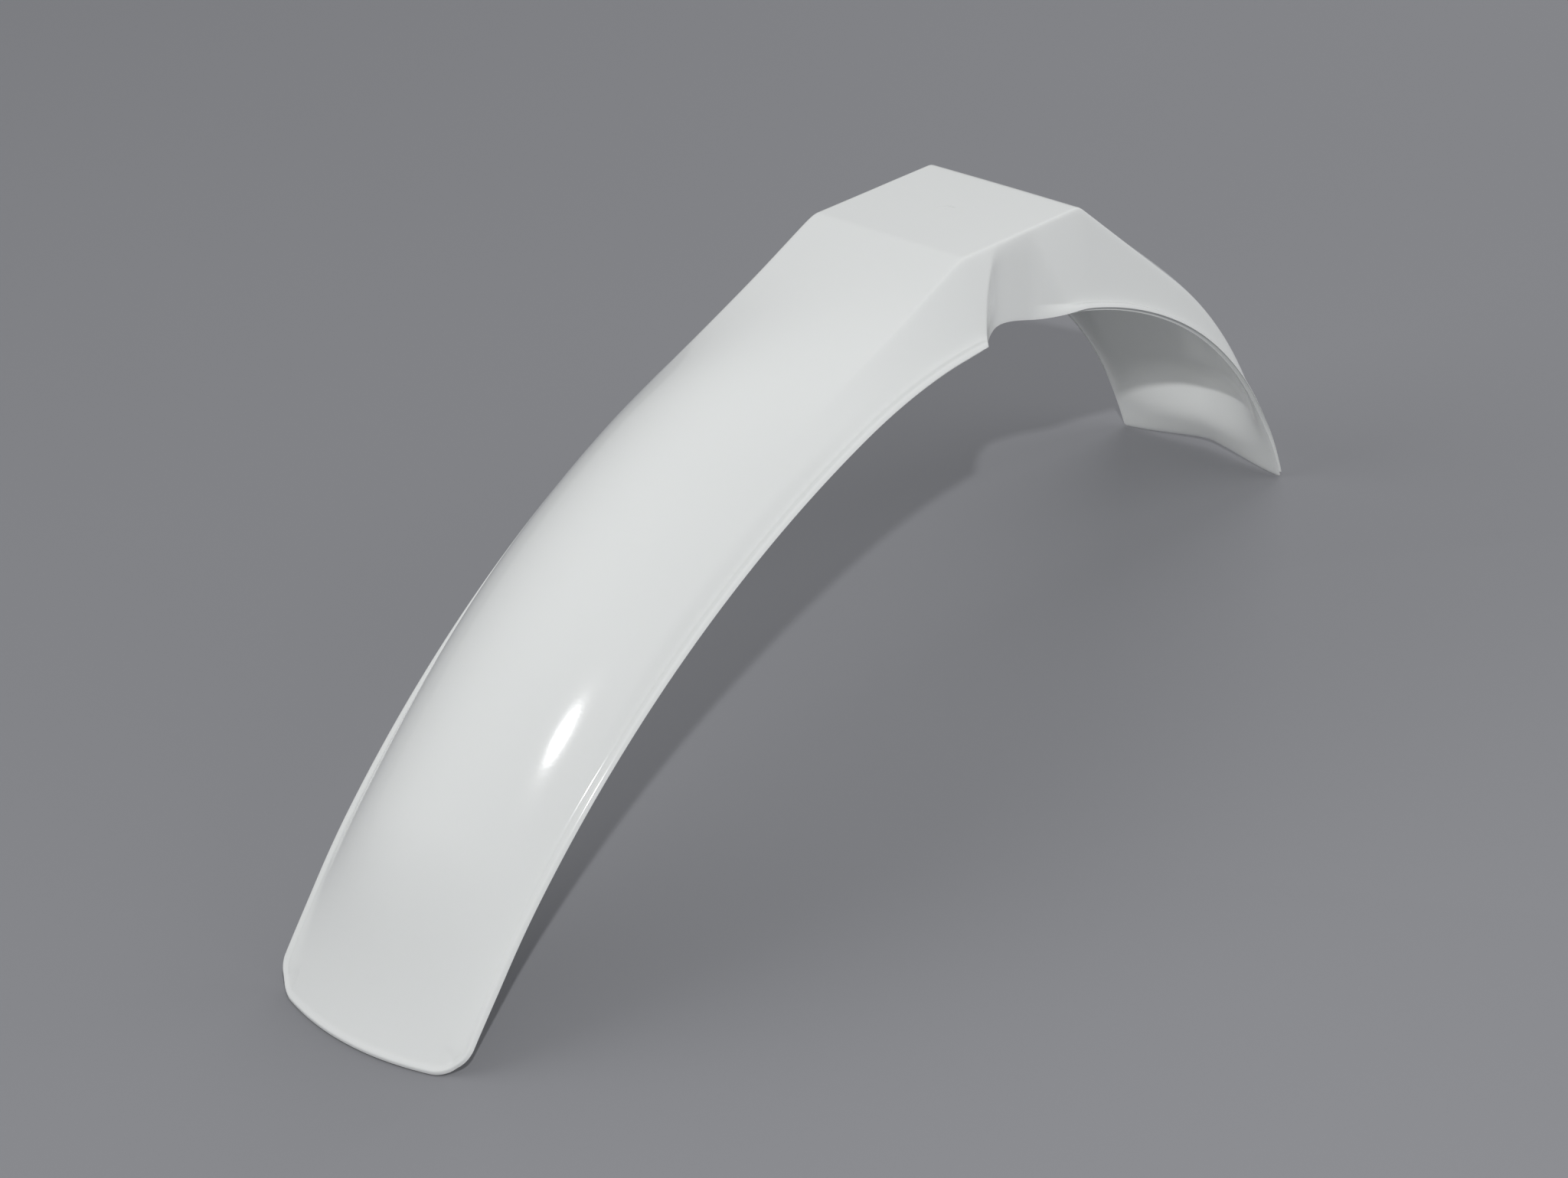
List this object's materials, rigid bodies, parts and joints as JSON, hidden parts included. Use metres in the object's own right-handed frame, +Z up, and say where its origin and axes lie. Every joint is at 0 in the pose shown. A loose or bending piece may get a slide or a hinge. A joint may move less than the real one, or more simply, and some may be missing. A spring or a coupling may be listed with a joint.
{
  "type": "motorcycle front mudguard",
  "caption": "Long moulded front mudguard with a flat mounting top, fork recesses, a crowned front blade, a short curved rear blade and a turned-out lip.",
  "frame": {"origin": "on the floor, under the middle of the mudguard's bounding box", "axes": "+X forwards, towards the tip of the long front blade; +Y to the rider's left; +Z up, with the mudguard lying on its front edge and its two rear corners"},
  "size_m": [0.6808, 0.14, 0.2443],
  "materials": {
    "shell": "smooth glossy white polypropylene, as moulded"
  },
  "bodies": {
    "root": {"mudguard": "shell"}
  },
  "joints": []
}
